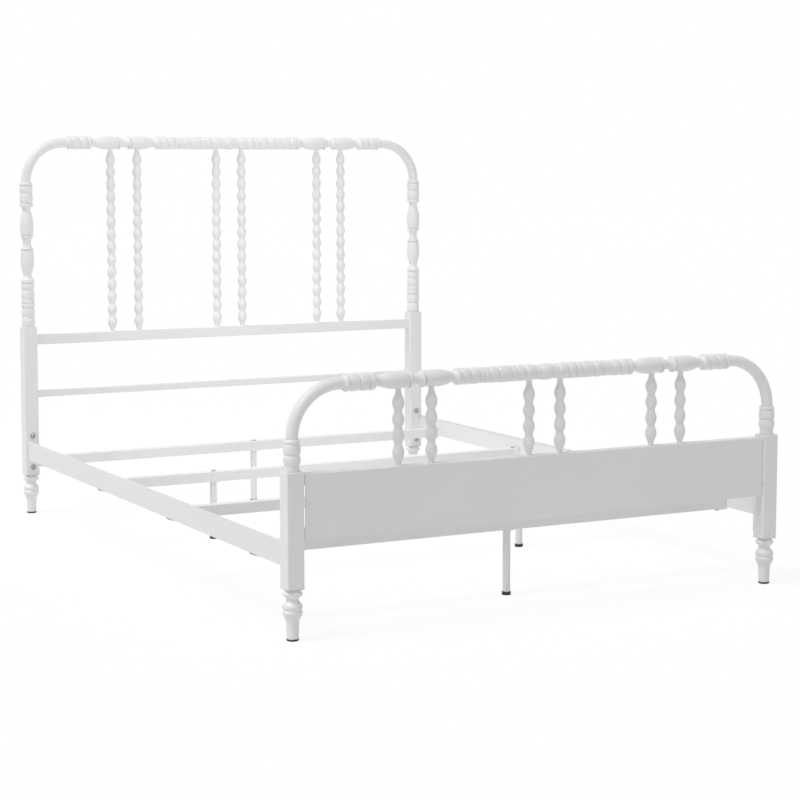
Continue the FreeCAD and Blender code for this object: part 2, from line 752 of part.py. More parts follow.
def foot_panel():
    """Folded sheet between the foot posts, with a flange at its top and its bottom."""
    body = new_body("foot_panel")
    profile = new_sketch(body, "YZ_Plane")
    sheet_in = "panel_thickness"
    deep = "panel_depth"
    high = "panel_height"
    polygon(profile, [
        ("0", "0"),
        (deep, "0"),
        (deep, sheet_in),
        (sheet_in, sheet_in),
        (sheet_in, "%s - %s" % (high, sheet_in)),
        (deep, "%s - %s" % (high, sheet_in)),
        (deep, high),
        ("0", high),
    ])
    length = "(%s - 2*panel_gap)" % INNER_FACE
    folded = pad(body, profile, length, symmetric=True)
    folds = [
        name for name in long_edges(folded, "x", length)
        if folded.Shape.getElement(name).BoundBox.YMax < 1e-6
    ]
    fillet(body, folded, folds, "panel_fold")
    front = "-(frame_length/2 + post_width/2 - panel_setback)"
    place(body, "0", front, PANEL_TOP + " - panel_height")
    node("foot_panel", body)

    across = front + " + panel_thickness + crossbar_size/2"
    upper = PANEL_TOP + " - panel_thickness - crossbar_size/2"
    lower = PANEL_TOP + " - panel_height + panel_thickness + crossbar_size/2"
    size = "crossbar_size"
    bar("foot_crossbar_top", size, size, INNER_FACE, across, upper)
    bar("foot_crossbar_bottom", size, size, INNER_FACE, across, lower)


# ---------------------------------------------------------------- side rails

def rail_half(name, towards_head):
    """One half of the right side rail, an angle whose web stands outside."""
    body = new_body(name)
    profile = new_sketch(body, "XZ_Plane")
    bottom = RAIL_TOP + " - rail_height"
    outside = "frame_width/2 + rail_outer"
    under = RAIL_TOP + " - rail_thickness"
    polygon(profile, [
        (outside, bottom),
        (outside, RAIL_TOP),
        ("%s - rail_flange" % outside, RAIL_TOP),
        ("%s - rail_flange" % outside, under),
        (WEB, under),
        (WEB, bottom),
    ])
    shift = "- splice_shift" if towards_head else "+ splice_shift"
    length = "frame_length/2 - post_width/2 - plate_thickness " + shift
    pad(body, profile, length, backwards=towards_head)
    places = SPLICE_BOLTS[2:] if towards_head else SPLICE_BOLTS[:2]
    spots = [(place_y, SPLICE_MIDDLE) for place_y in places]
    drill(body, "YZ_Plane", WEB, spots, "bolt", "splice_hole_depth", backwards=True)
    return body


def side_rails():
    """Each side is two halves that meet at the splice, and turned round for the left."""
    for side, turn in (("right", None), ("left", ROUND)):
        for end in ("head", "foot"):
            towards_head = (end == "head") == (side == "right")
            body = rail_half("side_rail_%s_%s" % (side, end), towards_head)
            place(body, "0", "splice_shift", "0", turn)
            node("side_rail_%s_%s" % (side, end), body)


def end_plates():
    """A tall plate at each end of each side rail, against the post."""
    for side, sign in SIDES.items():
        for end, end_sign in (("head", ""), ("foot", "-")):
            label = "end_plate_%s_%s" % (side, end)
            body = new_body(label)
            outline = new_sketch(body, "XZ_Plane")
            rectangle(outline, "plate_width", "plate_height")
            for half in ("-bolt_spacing/2", "bolt_spacing/2"):
                circle(outline, "0", half, "bolt + 2*bolt_play")
            slab = pad(body, outline, "plate_thickness", symmetric=True)
            fillet(body, slab, long_edges(slab, "y", "plate_thickness"), "plate_corner")
            away = "(frame_length/2 - post_width/2 - plate_thickness/2)"
            place(body, sign + HALF_WIDTH, end_sign + away, PLATE_MIDDLE)
            node(label, body)


def splice_plates():
    """A plate inside the web of each side rail, across the splice."""
    for side, turn in (("right", None), ("left", ROUND)):
        label = "splice_plate_" + side
        body = new_body(label)
        outline = new_sketch(body, "YZ_Plane", WEB)
        rectangle(outline, "splice_length", "splice_height")
        for place_y in SPLICE_BOLTS:
            circle(outline, place_y, "0", "bolt + 2*bolt_play")
        pad(body, outline, "splice_thickness", backwards=True)
        place(body, "0", "splice_shift", SPLICE_MIDDLE, turn)
        node(label, body)


# ---------------------------------------------------------------- slats

def slats():
    """Square tubes across the bed, from rail to rail."""
    half = "(%s - slat_gap)" % WEB
    bolt_place = "(%s - slat_bolt_inset)" % WEB
    for number, (y, leg_x) in enumerate(zip(SLATS, LEGS), 1):
        label = "slat_%d" % number
        body = square_tube(
            label, "slat_size", "slat_size", "crossbar_rail_wall", "2*" + half,
            "crossbar_rail_corner",
        )
        spots = [
            ("0", "%s - %s" % (half, bolt_place)),
            ("0", "%s + %s" % (half, leg_x)),
            ("0", "%s + %s" % (half, bolt_place)),
        ]
        hole = "bolt + 2*bolt_play"
        drill(body, "YZ_Plane", "-slat_size/2", spots, hole, "slat_size", backwards=True)
        place(body, "-" + half, y, SLAT_BOTTOM + " + slat_size/2", ALONG_X)
        node(label, body)


def channel(sketch, seat, thickness, cheek):
    """U profile that holds a slat: seat is the height of its bottom in the sketch."""
    inner = "(slat_size/2 + bracket_play)"
    outer = "(slat_size/2 + bracket_play + %s)" % thickness
    below = "%s - %s" % (seat, thickness)
    above = "%s + %s" % (seat, cheek)
    polygon(sketch, [
        ("-" + outer, below),
        (outer, below),
        (outer, above),
        (inner, above),
        (inner, seat),
        ("-" + inner, seat),
        ("-" + inner, above),
        ("-" + outer, above),
    ])


def slat_brackets():
    """U brackets on the rails' webs, one at each end of each slat."""
    body = new_body("slat_bracket_master")
    profile = new_sketch(body, "YZ_Plane")
    channel(profile, "0", "bracket_thickness", "bracket_height")
    pad(body, profile, "bracket_length", backwards=True)
    spot = [("-slat_bolt_inset", "0")]
    drill(body, "XY_Plane", "0", spot, "bolt + 2*bolt_play", "bracket_thickness")
    spots = [(WEB, y, SLAT_BOTTOM, None) for y in SLATS]
    spots += [("-" + WEB, y, SLAT_BOTTOM, ROUND) for y in SLATS]
    copies("slat_brackets", body, spots)


def support_legs():
    """Round tubes under the slats, each with a saddle welded on top."""
    base = "(%s - saddle_thickness)" % SLAT_BOTTOM
    for number, (y, x) in enumerate(zip(SLATS, LEGS), 1):
        label = "support_leg_%d" % number
        body = new_body(label)
        ring = new_sketch(body, "XY_Plane", "leg_glide_floor")
        circle(ring, "0", "0", "leg_tube")
        circle(ring, "0", "0", "leg_tube - 2*leg_wall")
        pad(body, ring, base + " - leg_glide_floor")
        profile = new_sketch(body, "YZ_Plane")
        channel(profile, SLAT_BOTTOM, "saddle_thickness", "saddle_height")
        pad(body, profile, "saddle_width", symmetric=True)
        hole = "bolt + 2*bolt_play"
        drill(body, "XY_Plane", SLAT_BOTTOM, [("0", "0")], hole, "saddle_thickness")
        place(body, x, y, "0")
        node(label, body)


# ---------------------------------------------------------------- feet

def turned_feet():
    """Turned feet with a square flange under the post and a plug inside it.

    Their runs are stretched together, so that a foot always reaches its post.
    """
    stations = [
        ("ankle_top", "ankle_run"),
        ("foot_bead", "cup_run"),
        ("foot_groove", "foot_groove_run"),
        ("foot_bead", "foot_bead_run"),
        ("foot_neck", "foot_neck_run"),
        ("foot_bead", "foot_neck_run"),
        ("foot_collar", "foot_collar_run"),
    ]
    flange_low = "(post_bottom - glide_height - foot_flange)"
    stretch = "*%s/(%s)" % (flange_low, " + ".join(run for diameter, run in stations))
    body = turned("turned_foot_master", [("ankle", "0")] + [
        (diameter, run + stretch) for diameter, run in stations
    ])
    flange = new_sketch(body, "XY_Plane", flange_low)
    rectangle(flange, "post_width", "post_width")
    slab = pad(body, flange, "foot_flange")
    edges = long_edges(slab, "z", "foot_flange")
    fillet(body, slab, edges, "post_corner")
    plug = new_sketch(body, "XY_Plane", "post_bottom - glide_height")
    inside = "post_width - 2*post_wall - 2*plug_play"
    rectangle(plug, inside, inside)
    pad(body, plug, "plug_height")
    drill(body, "XY_Plane", "0", [("0", "0")], "stem", "stem_length", backwards=True)
    copies("turned_feet", body, corners("glide_height"))

    glide = turned("post_glide_master", [
        ("glide - 2*glide_edge", "0"),
        ("glide", "glide_edge"),
        ("glide", "glide_height - glide_edge"),
    ])
    stem = new_sketch(glide, "XY_Plane", "glide_height")
    circle(stem, "0", "0", "stem")
    pad(glide, stem, "stem_length")
    copies("post_glides", glide, corners("0"))


def corners(z):
    """The four places of the posts at one height."""
    return [
        (x_sign + HALF_WIDTH, y_sign + HALF_LENGTH, z, None)
        for x_sign in ("-", "") for y_sign in ("-", "")
    ]


def leg_glides():
    """Cups on the lower ends of the support legs."""
    body = turned("leg_glide_master", [
        ("leg_glide - glide_edge", "0"),
        ("leg_glide", "glide_edge/2"),
        ("leg_glide", "leg_glide_height - glide_edge/2"),
    ])
    depth = "leg_glide_height - leg_glide_floor"
    drill(body, "XY_Plane", "leg_glide_height", [("0", "0")], "leg_tube", depth)
    copies("leg_glides", body, [(x, y, "0", None) for x, y in zip(LEGS, SLATS)])


# ---------------------------------------------------------------- fasteners

def bolt(name, shank, head, reach, washer=False):
    """Bolt along Z from the end of its shank; its head seats at its reach."""
    stations = [(shank, "0"), (shank, reach)]
    if washer:
        stations += [("washer", "0"), ("washer", "washer_thickness")]
    stations += [(head, "0"), (head, "bolt_head_height")]
    return turned(name, stations)


def rail_bolts():
    """Two bolts through each end plate into its post."""
    reach = "plate_thickness + rail_bolt_reach"
    master = bolt("rail_bolt_master", "bolt", "bolt_head", reach, washer=True)
    end = "(frame_length/2 - post_width/2 + rail_bolt_reach)"
    spots = []
    for x_sign in ("-", ""):
        for z in RAIL_BOLTS:
            spots.append((x_sign + HALF_WIDTH, end, z, DOWN_TO_Y))
            spots.append((x_sign + HALF_WIDTH, "-" + end, z, DOWN_TO_MINUS_Y))
    copies("rail_bolts", master, spots)


def splice_bolts():
    """Bolts from inside through the splice plates into the rails' webs."""
    reach = "splice_thickness + splice_hole_depth"
    master = bolt("splice_bolt_master", "bolt", "bolt_head", reach)
    end = "(%s + splice_hole_depth)" % WEB
    spots = []
    for y in SPLICE_BOLTS:
        spots.append((end, "splice_shift + " + y, SPLICE_MIDDLE, DOWN_TO_X))
        spots.append(("-" + end, "splice_shift + " + y, SPLICE_MIDDLE, DOWN_TO_MINUS_X))
    copies("splice_bolts", master, spots)


def slat_bolts():
    """Bolts down through the ends of the slats and their brackets, with nuts below."""
    reach = "slat_size + bracket_thickness + stud_reach"
    master = bolt("slat_bolt_master", "bolt", "bolt_head", reach)
    across = "(%s - slat_bolt_inset)" % WEB
    end = SLAT_BOTTOM + " - bracket_thickness - stud_reach"
    spots = [(sign + across, y, end, None) for y in SLATS for sign in SIDES.values()]
    copies("slat_bolts", master, spots)

    nut = new_body("slat_nut_master")
    outline = new_sketch(nut, "XY_Plane")
    flat, corner = "nut_width/2", "nut_width/sqrt(3)"
    half_corner = "nut_width/sqrt(12)"
    polygon(outline, [
        (corner, "0"),
        (half_corner, flat),
        ("-" + half_corner, flat),
        ("-" + corner, "0"),
        ("-" + half_corner, "-" + flat),
        (half_corner, "-" + flat),
    ])
    circle(outline, "0", "0", "bolt")
    pad(nut, outline, "nut_height")
    height = SLAT_BOTTOM + " - bracket_thickness - nut_height"
    spots = [(sign + across, y, height, None) for y in SLATS for sign in SIDES.values()]
    copies("slat_nuts", nut, spots)


def leg_bolts():
    """A bolt down through each slat into the saddle of its support leg."""
    reach = "slat_size + saddle_thickness + leg_bolt_reach"
    master = bolt("leg_bolt_master", "bolt", "bolt_head", reach)
    end = SLAT_BOTTOM + " - saddle_thickness - leg_bolt_reach"
    copies("leg_bolts", master, [(x, y, end, None) for x, y in zip(LEGS, SLATS)])


def insert_screws():
    """A screw from the bed's inside through each head leg into its joining tube."""
    reach = "(post_wall + insert_play + insert_wall + screw_reach)"
    master = bolt("insert_screw_master", "screw", "screw_head", reach)
    end = "(frame_width/2 - post_width/2 + %s)" % reach
    copies("insert_screws", master, [
        ("-" + end, HALF_LENGTH, SCREW_AXIS, DOWN_TO_MINUS_X),
        (end, HALF_LENGTH, SCREW_AXIS, DOWN_TO_X),
    ])


# ---------------------------------------------------------------- the bed

hoops()
posts()
headboard_rails()
foot_panel()
side_rails()
end_plates()
splice_plates()
slats()
slat_brackets()
support_legs()
turned_feet()
leg_glides()
rail_bolts()
splice_bolts()
slat_bolts()
leg_bolts()
insert_screws()
doc.recompute()

for thing in doc.Objects:
    if "Invalid" in thing.State or "Error" in thing.State:
        raise RuntimeError("%s (%s) failed: %s" % (thing.Name, thing.Label, thing.State))
for thing in nodes:
    if thing.Shape.isNull() or not thing.Shape.isValid() or not thing.Shape.Solids:
        raise RuntimeError("%s has no valid solid" % thing.Label)

os.makedirs("parts", exist_ok=True)
for thing in nodes:
    thing.Shape.exportStep("parts/%s.step" % thing.Label)
print("%d nodes, %d solids" % (len(nodes), sum(len(thing.Shape.Solids) for thing in nodes)))
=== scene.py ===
import math

import bpy
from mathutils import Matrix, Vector


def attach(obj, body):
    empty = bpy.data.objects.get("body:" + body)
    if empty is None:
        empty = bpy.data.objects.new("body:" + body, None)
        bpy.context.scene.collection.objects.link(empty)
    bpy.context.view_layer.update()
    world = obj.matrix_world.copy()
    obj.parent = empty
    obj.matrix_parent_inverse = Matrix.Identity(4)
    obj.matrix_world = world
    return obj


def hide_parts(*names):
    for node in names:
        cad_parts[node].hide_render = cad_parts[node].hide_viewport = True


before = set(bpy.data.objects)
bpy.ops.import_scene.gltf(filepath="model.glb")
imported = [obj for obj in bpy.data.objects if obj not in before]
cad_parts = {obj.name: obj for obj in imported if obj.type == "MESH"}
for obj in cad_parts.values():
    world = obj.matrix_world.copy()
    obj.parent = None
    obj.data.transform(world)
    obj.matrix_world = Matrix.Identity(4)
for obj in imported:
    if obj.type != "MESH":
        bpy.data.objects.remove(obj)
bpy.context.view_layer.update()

bpy.ops.object.select_all(action="DESELECT")

# White metal bed with turned, beaded hoops. The bed lies along Y with its head at +Y,
# stands on Z = 0, and X runs across it. Sizes are in millimetres, up to the studio.

MM = 0.001            # one millimetre in the frame's metres
POST_X = 690          # axis of the posts, from the middle of the bed
POST_Y = 980          # the same, along the bed
HEAD_TOP = 1172       # axis of the top bar of the head hoop
FOOT_TOP = 600        # axis of the top bar of the foot hoop
BEND = 124            # bend radius of both hoops
TUBE = 15             # radius of the plain bent tube
TUBE_EDGE = 14        # radius of its rounded edge, where it steps down
CORE = 10             # radius of the tube inside the turned sleeves
BORE = 10.3           # radius of the bore of a sleeve
HEAD_PLAIN = 10       # plain tube between the bend and the top bar's turning
FOOT_PLAIN = 8        # the same at the foot
BRACKET_X = 684       # bolts of the slat brackets, from the middle of the bed
SPINDLES = (-410, -320, -45, 45, 320, 410)    # axes of the spindles, across the bed
SLATS = (840, 300, -235, -780)                # middles of the slats, along the bed
LEGS = (20, -350, 383, 13)                    # support leg of each slat, across the bed
CORNERS = (("head_left", -1, 1), ("head_right", 1, 1),
           ("foot_left", -1, -1), ("foot_right", 1, -1))

HOOP_SEGMENTS = 40    # steps round a hoop and round its sleeves
BEND_SEGMENTS = 20    # steps along a bend
CREASE = 38           # faces that meet at more degrees than this keep their edge
SAME_SPOT = 0.000005  # vertices nearer than this become one, in metres
SHORTEST = 0.00001    # a step of a profile shorter than this is left out, in metres


# ------------------------------------------------------------------ finishes

def node(tree, kind, place, **values):
    """A node at a place in the editor; values go to its settings and inputs."""
    made = tree.nodes.new("ShaderNode" + kind)
    made.location = place
    for name, value in values.items():
        if hasattr(made, name):
            setattr(made, name, value)
        else:
            made.inputs[name.replace("_", " ")].default_value = value
    return made


def maths(tree, place, operation, first, second, third=None):
    """A Math node; each term is a number or a socket."""
    made = node(tree, "Math", place, operation=operation)
    for index, term in enumerate((first, second, third)):
        if isinstance(term, (int, float)):
            made.inputs[index].default_value = term
        elif term is not None:
            tree.links.new(term, made.inputs[index])
    return made.outputs[0]


def blend_colour(tree, place, factor, first, second, blend_type="MIX"):
    """A Mix node for colours; the factor is a number or a socket, the colours sockets."""
    made = node(tree, "Mix", place, data_type="RGBA", blend_type=blend_type)
    for index, term in ((0, factor), (6, first), (7, second)):
        if hasattr(term, "links"):
            tree.links.new(term, made.inputs[index])
        else:
            made.inputs[index].default_value = term
    return made.outputs[2]


def stretched(tree, place, value, low, high, to_low=0.0, to_high=1.0):
    """A value whose range low to high becomes to_low to to_high, held inside it."""
    made = node(tree, "MapRange", place, From_Min=low, From_Max=high,
                To_Min=to_low, To_Max=to_high)
    tree.links.new(value, made.inputs["Value"])
    return made.outputs[0]


def texture(tree, start, kind, place, size=None, **values):
    """A texture on the skin's Place; size names the input that its scale comes from."""
    made = node(tree, "Tex" + kind, place, **values)
    tree.links.new(start.outputs["Place"], made.inputs["Vector"])
    if size:
        tree.links.new(start.outputs[size], made.inputs["Scale"])
    return made.outputs[0]


def new_skin(name, inputs):
    """A node group for a surface with named inputs, and its two end nodes."""
    tree = bpy.data.node_groups.new(name, "ShaderNodeTree")
    tree.interface.new_socket(name="Place", in_out="INPUT",
                              socket_type="NodeSocketVector")
    for kind, label, value in inputs:
        made = tree.interface.new_socket(name=label, in_out="INPUT",
                                         socket_type="NodeSocket" + kind)
        made.default_value = value
    for kind, label in (("Color", "Colour"), ("Float", "Roughness"), ("Float", "Height")):
        tree.interface.new_socket(name=label, in_out="OUTPUT",
                                  socket_type="NodeSocket" + kind)
    start = tree.nodes.new("NodeGroupInput")
    end = tree.nodes.new("NodeGroupOutput")
    start.location, end.location = (-900, 0), (900, 0)
    return tree, start, end


def paint_skin():
    """Baked powder paint: orange peel, drifts of tone, dust on what faces up."""
    tree, start, end = new_skin("paint skin", [
        ("Color", "Paint", (0.86, 0.86, 0.85, 1)),
        ("Color", "Dust", (0.74, 0.72, 0.69, 1)),
        ("Float", "Dust Amount", 0.06),
        ("Float", "Gloss Roughness", 0.36),
        ("Float", "Peel Size", 520.0),
        ("Float", "Casting Lumps", 0.0),
    ])
    link = tree.links.new

    peel = texture(tree, start, "Noise", (-600, 300), "Peel Size",
                   Detail=2.0, Roughness=0.45)
    lumps = texture(tree, start, "Noise", (-600, 0), Scale=95.0, Detail=1.0)
    height = maths(tree, (0, 300), "MULTIPLY_ADD", lumps,
                   start.outputs["Casting Lumps"], peel)
    link(height, end.inputs["Height"])

    drift = texture(tree, start, "Noise", (-600, -250),
                    Scale=3.2, Detail=3.0, Roughness=0.6)
    shade = stretched(tree, (-350, -250), drift, 0.3, 0.7, 0.965, 1.0)
    toned = blend_colour(tree, (-50, -200), 1.0, start.outputs["Paint"], shade, "MULTIPLY")

    facing = node(tree, "NewGeometry", (-900, -500))
    parts = node(tree, "SeparateXYZ", (-700, -500))
    link(facing.outputs["Normal"], parts.inputs[0])
    upwards = stretched(tree, (-500, -500), parts.outputs["Z"], 0.35, 1.0)
    flecks = texture(tree, start, "Noise", (-500, -750),
                     Scale=46.0, Detail=6.0, Roughness=0.75)
    patchy = stretched(tree, (-250, -750), flecks, 0.38, 0.72)
    dust = maths(tree, (-250, -500), "MULTIPLY", upwards, patchy)
    dust = maths(tree, (0, -500), "MULTIPLY", dust, start.outputs["Dust Amount"])
    colour = blend_colour(tree, (350, -200), dust, toned, start.outputs["Dust"])
    link(colour, end.inputs["Colour"])

    rubbed = stretched(tree, (0, 0), drift, 0.3, 0.7, -0.05, 0.06)
    rough = maths(tree, (250, 0), "ADD", start.outputs["Gloss Roughness"], rubbed)
    link(maths(tree, (450, 0), "MULTIPLY_ADD", dust, 1.5, rough), end.inputs["Roughness"])
    return tree


def metal_skin():
    """Machined or plated steel: fine cutting lines, blotches and handling marks."""
    tree, start, end = new_skin("metal skin", [
        ("Color", "Bright", (0.6, 0.6, 0.61, 1)),
        ("Color", "Dull", (0.4, 0.4, 0.41, 1)),
        ("Float", "Blotch Size", 160.0),
        ("Float", "Line Size", 2600.0),
        ("Float", "Smoothness", 0.34),
    ])
    link = tree.links.new
    blotches = texture(tree, start, "Voronoi", (-600, 200), "Blotch Size",
                       feature="SMOOTH_F1", Smoothness=0.6)
    clouds = texture(tree, start, "Noise", (-600, -50),
                     Scale=340.0, Detail=4.0, Roughness=0.6)
    mixed = maths(tree, (-350, 100), "ADD", blotches, clouds)
    worn = stretched(tree, (-150, 100), mixed, 0.5, 1.25)
    colour = blend_colour(tree, (150, 200), worn, start.outputs["Bright"],
                          start.outputs["Dull"])
    link(colour, end.inputs["Colour"])
    rough = maths(tree, (150, -50), "MULTIPLY_ADD", worn, 0.2,
                  start.outputs["Smoothness"])
    link(rough, end.inputs["Roughness"])
    lines = texture(tree, start, "Noise", (-300, -350), "Line Size", Detail=2.0)
    link(lines, end.inputs["Height"])
    return tree


def moulded_skin():
    """Moulded plastic: fine spark-eroded grain and scuffs."""
    tree, start, end = new_skin("moulded skin", [
        ("Color", "Plastic", (0.018, 0.018, 0.019, 1)),
        ("Color", "Scuff", (0.09, 0.09, 0.088, 1)),
        ("Float", "Scuff Amount", 0.35),
        ("Float", "Grain Size", 1800.0),
    ])
    link = tree.links.new
    grain = texture(tree, start, "Noise", (-600, 250), "Grain Size",
                    Detail=3.0, Roughness=0.7)
    link(grain, end.inputs["Height"])
    scuffs = texture(tree, start, "Noise", (-600, -100),
                     Scale=240.0, Detail=5.0, Distortion=1.2)
    marks = stretched(tree, (-350, -100), scuffs, 0.52, 0.74)
    marked = maths(tree, (-100, -100), "MULTIPLY", marks, start.outputs["Scuff Amount"])
    colour = blend_colour(tree, (150, 0), marked, start.outputs["Plastic"],
                          start.outputs["Scuff"])
    link(colour, end.inputs["Colour"])
    rough = maths(tree, (150, -200), "MULTIPLY_ADD", marked, 0.4, 0.42)
    link(rough, end.inputs["Roughness"])
    return tree


def finish(name, skin, values, metallic=0.0, bump=0.0002, strength=0.25):
    """A material whose Principled shader takes colour, roughness and bump from a skin."""
    material = bpy.data.materials.new(name)
    material.use_nodes = True
    tree = material.node_tree
    link = tree.links.new
    shader = tree.nodes["Principled BSDF"]
    shader.inputs["Metallic"].default_value = metallic
    place = node(tree, "TexCoord", (-900, 0))
    surface = node(tree, "Group", (-600, 0))
    surface.node_tree = skin
    link(place.outputs["Object"], surface.inputs["Place"])
    for label, value in values.items():
        surface.inputs[label].default_value = value
    relief = node(tree, "Bump", (-300, -300), Strength=strength, Distance=bump)
    link(surface.outputs["Height"], relief.inputs["Height"])
    link(surface.outputs["Colour"], shader.inputs["Base Color"])
    link(surface.outputs["Roughness"], shader.inputs["Roughness"])
    link(relief.outputs["Normal"], shader.inputs["Normal"])
    return material


PAINT = paint_skin()
METAL = metal_skin()
MOULDED = moulded_skin()
WHITE = (0.86, 0.86, 0.852, 1)
TUBE_PAINT = finish("white paint on tube", PAINT, {"Paint": WHITE})
SHEET_PAINT = finish("white paint on folded sheet", PAINT,
                     {"Paint": WHITE, "Peel Size": 430.0, "Gloss Roughness": 0.4})
CAST_PAINT = finish("white paint on castings", PAINT,
                    {"Paint": (0.865, 0.865, 0.855, 1), "Casting Lumps": 1.6,
                     "Gloss Roughness": 0.32, "Dust Amount": 0.04}, strength=0.3)
BASE_PAINT = finish("white paint on base frame", PAINT,
                    {"Paint": (0.85, 0.85, 0.843, 1), "Dust Amount": 0.12,
                     "Gloss Roughness": 0.42})
BOLT_STEEL = finish("grey bolt steel", METAL, {}, metallic=1.0, bump=0.00005)
ZINC = finish("zinc plated nuts", METAL,
              {"Bright": (0.62, 0.62, 0.6, 1), "Dull": (0.42, 0.43, 0.43, 1),
               "Blotch Size": 420.0, "Smoothness": 0.28}, metallic=1.0, bump=0.00004)
GLIDE_BLACK = finish("black glide plastic", MOULDED, {}, bump=0.00008, strength=0.4)


# ------------------------------------------------------------------ making pieces

def finished(piece, name, material, slot, *replaced):
    """Name a piece, paint it, hang it on the root body and hide the parts it stands in for.
    """
    piece.name = piece.data.name = name
    piece.data.materials.clear()
    piece.data.materials.append(material)
    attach(piece, "root")
    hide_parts(*replaced)


def settle(piece, crease=CREASE):
    """Close a shape in edit mode, turn its faces outwards and smooth it up to a crease."""
    bpy.ops.mesh.select_all(action="SELECT")
    bpy.ops.mesh.remove_doubles(threshold=SAME_SPOT)
    bpy.ops.mesh.normals_make_consistent(inside=False)
    bpy.ops.object.mode_set(mode="OBJECT")
    bpy.ops.object.shade_smooth_by_angle(angle=math.radians(crease))
    bpy.ops.object.transform_apply(location=True, rotation=True, scale=True)
    return piece


def turned(profile, centre=(0, 0, 0), along="Z", segments=32, crease=CREASE):
    """A lathe piece from (place, radius) pairs in mm along its axis through centre."""
    centre = Vector(centre) * MM
    sideways, upright = Vector((1, 0, 0)), Vector((0, 0, 1))
    axis, outwards = (sideways, upright) if along == "X" else (upright, sideways)
    spots = [centre + axis * (place * MM) + outwards * (radius * MM)
             for place, radius in profile]
    bpy.ops.object.select_all(action="DESELECT")
    bpy.ops.mesh.primitive_plane_add(size=0.01)
    piece = bpy.context.object
    bpy.ops.object.mode_set(mode="EDIT")
    bpy.ops.mesh.merge(type="CENTER")
    bpy.ops.transform.translate(value=spots[0])
    for here, there in zip(spots, spots[1:]):
        step = there - here
        if step.length > SHORTEST:
            bpy.ops.mesh.extrude_region_move(TRANSFORM_OT_translate={"value": step})
    bpy.ops.mesh.select_all(action="SELECT")
    bpy.ops.mesh.spin(steps=segments, angle=2 * math.pi, center=centre, axis=axis)
    return settle(piece, crease)


def copy_of(piece, spot, direction=None):
    """Another of a finished piece, with its own mesh, moved by mm.

    Where a direction is given, what pointed up in the piece points that way."""
    bpy.ops.object.select_all(action="DESELECT")
    piece.select_set(True)
    bpy.context.view_layer.objects.active = piece
    bpy.ops.object.duplicate(linked=False)
    other = bpy.context.object
    other.location = Vector(spot) * MM
    if direction:
        other.rotation_euler = Vector(direction).to_track_quat("Z", "X").to_euler()
    bpy.ops.object.transform_apply(location=True, rotation=True, scale=True)
    return other


def cut_with(piece, tool, operation):
    """Cut a piece with a tool, which goes: DIFFERENCE or INTERSECT."""
    bpy.context.view_layer.objects.active = piece
    cut = piece.modifiers.new("cut", "BOOLEAN")
    cut.operation, cut.object, cut.solver = operation, tool, "EXACT"
    bpy.ops.object.modifier_apply(modifier=cut.name)
    bpy.data.objects.remove(tool)


# ------------------------------------------------------------------ profiles

def swell(start, end, low, high, fullness, steps=8):
    """A bead (fullness near 2), a bobbin (near 3) or a flat ring (4 and more)."""
    middle, half = (start + end) / 2, (end - start) / 2
    line = []
    for step in range(steps + 1):
        angle = math.pi * step / steps
        across, out = math.cos(angle), abs(math.sin(angle))
        place = middle - half * math.copysign(abs(across) ** (2 / fullness), across)
        line.append((place, low + (high - low) * out ** (2 / fullness)))
    return line


def rings(*rows):
    """Beads, bobbins and rings side by side; each row is what swell takes."""
    return [spot for row in rows for spot in swell(*row)]


def flowing(points, steps=4):
    """A smooth line that passes through all of its (place, radius) points."""
    ends = [points[0]] + points + [points[-1]]
    line = []
    for a, b, c, d in zip(ends, ends[1:], ends[2:], ends[3:]):
        for step in range(steps):
            t = step / steps
            line.append(tuple(
                0.5 * (2 * q + (r - p) * t + (2 * p - 5 * q + 4 * r - s) * t * t
                       + (3 * q - p - 3 * r + s) * t ** 3)
                for p, q, r, s in zip(a, b, c, d)))
    return line + [points[-1]]


def urn(neck, belly, shoulder, collar, cove):
    """A vase from its neck over its belly to its shoulder, a thin collar, half a cove."""
    way = 1 if cove > neck else -1
    run, back, reach = abs(belly - neck), abs(shoulder - belly), abs(cove - collar)
    vase = flowing([
        (neck, 13.0),
        (neck + way * 0.09 * run, 13.4),
        (neck + way * 0.34 * run, 16.9),
        (neck + way * 0.66 * run, 20.2),
        (belly, 21.0),
        (belly + way * 0.45 * back, 20.7),
        (belly + way * 0.80 * back, 19.6),
        (shoulder - way * 2.2, 18.6),
    ])
    groove = [(shoulder - way * 1.7, 16.6), (shoulder - way * 0.3, 16.4)]
    disc = swell(shoulder, collar, 16.4, 21, 3.4)
    dip = flowing([
        (collar + way * 0.4, 16.2),
        (collar + way * 0.22 * reach, 14.9),
        (collar + way * 0.50 * reach, 13.4),
        (collar + way * 0.80 * reach, 12.8),
        (cove, 12.7),
    ])
    return vase + groove + disc + dip


def mirrored(half):
    """A profile and its mirror image about place 0, given the half with place >= 0."""
    return [(-place, radius) for place, radius in reversed(half)] + half


def sleeve(profile):
    """A profile closed along the bore, so that the piece is a sleeve over the core."""
    first, last = profile[0][0], profile[-1][0]
    return [(first, BORE)] + profile + [(last, BORE), (first, BORE)]


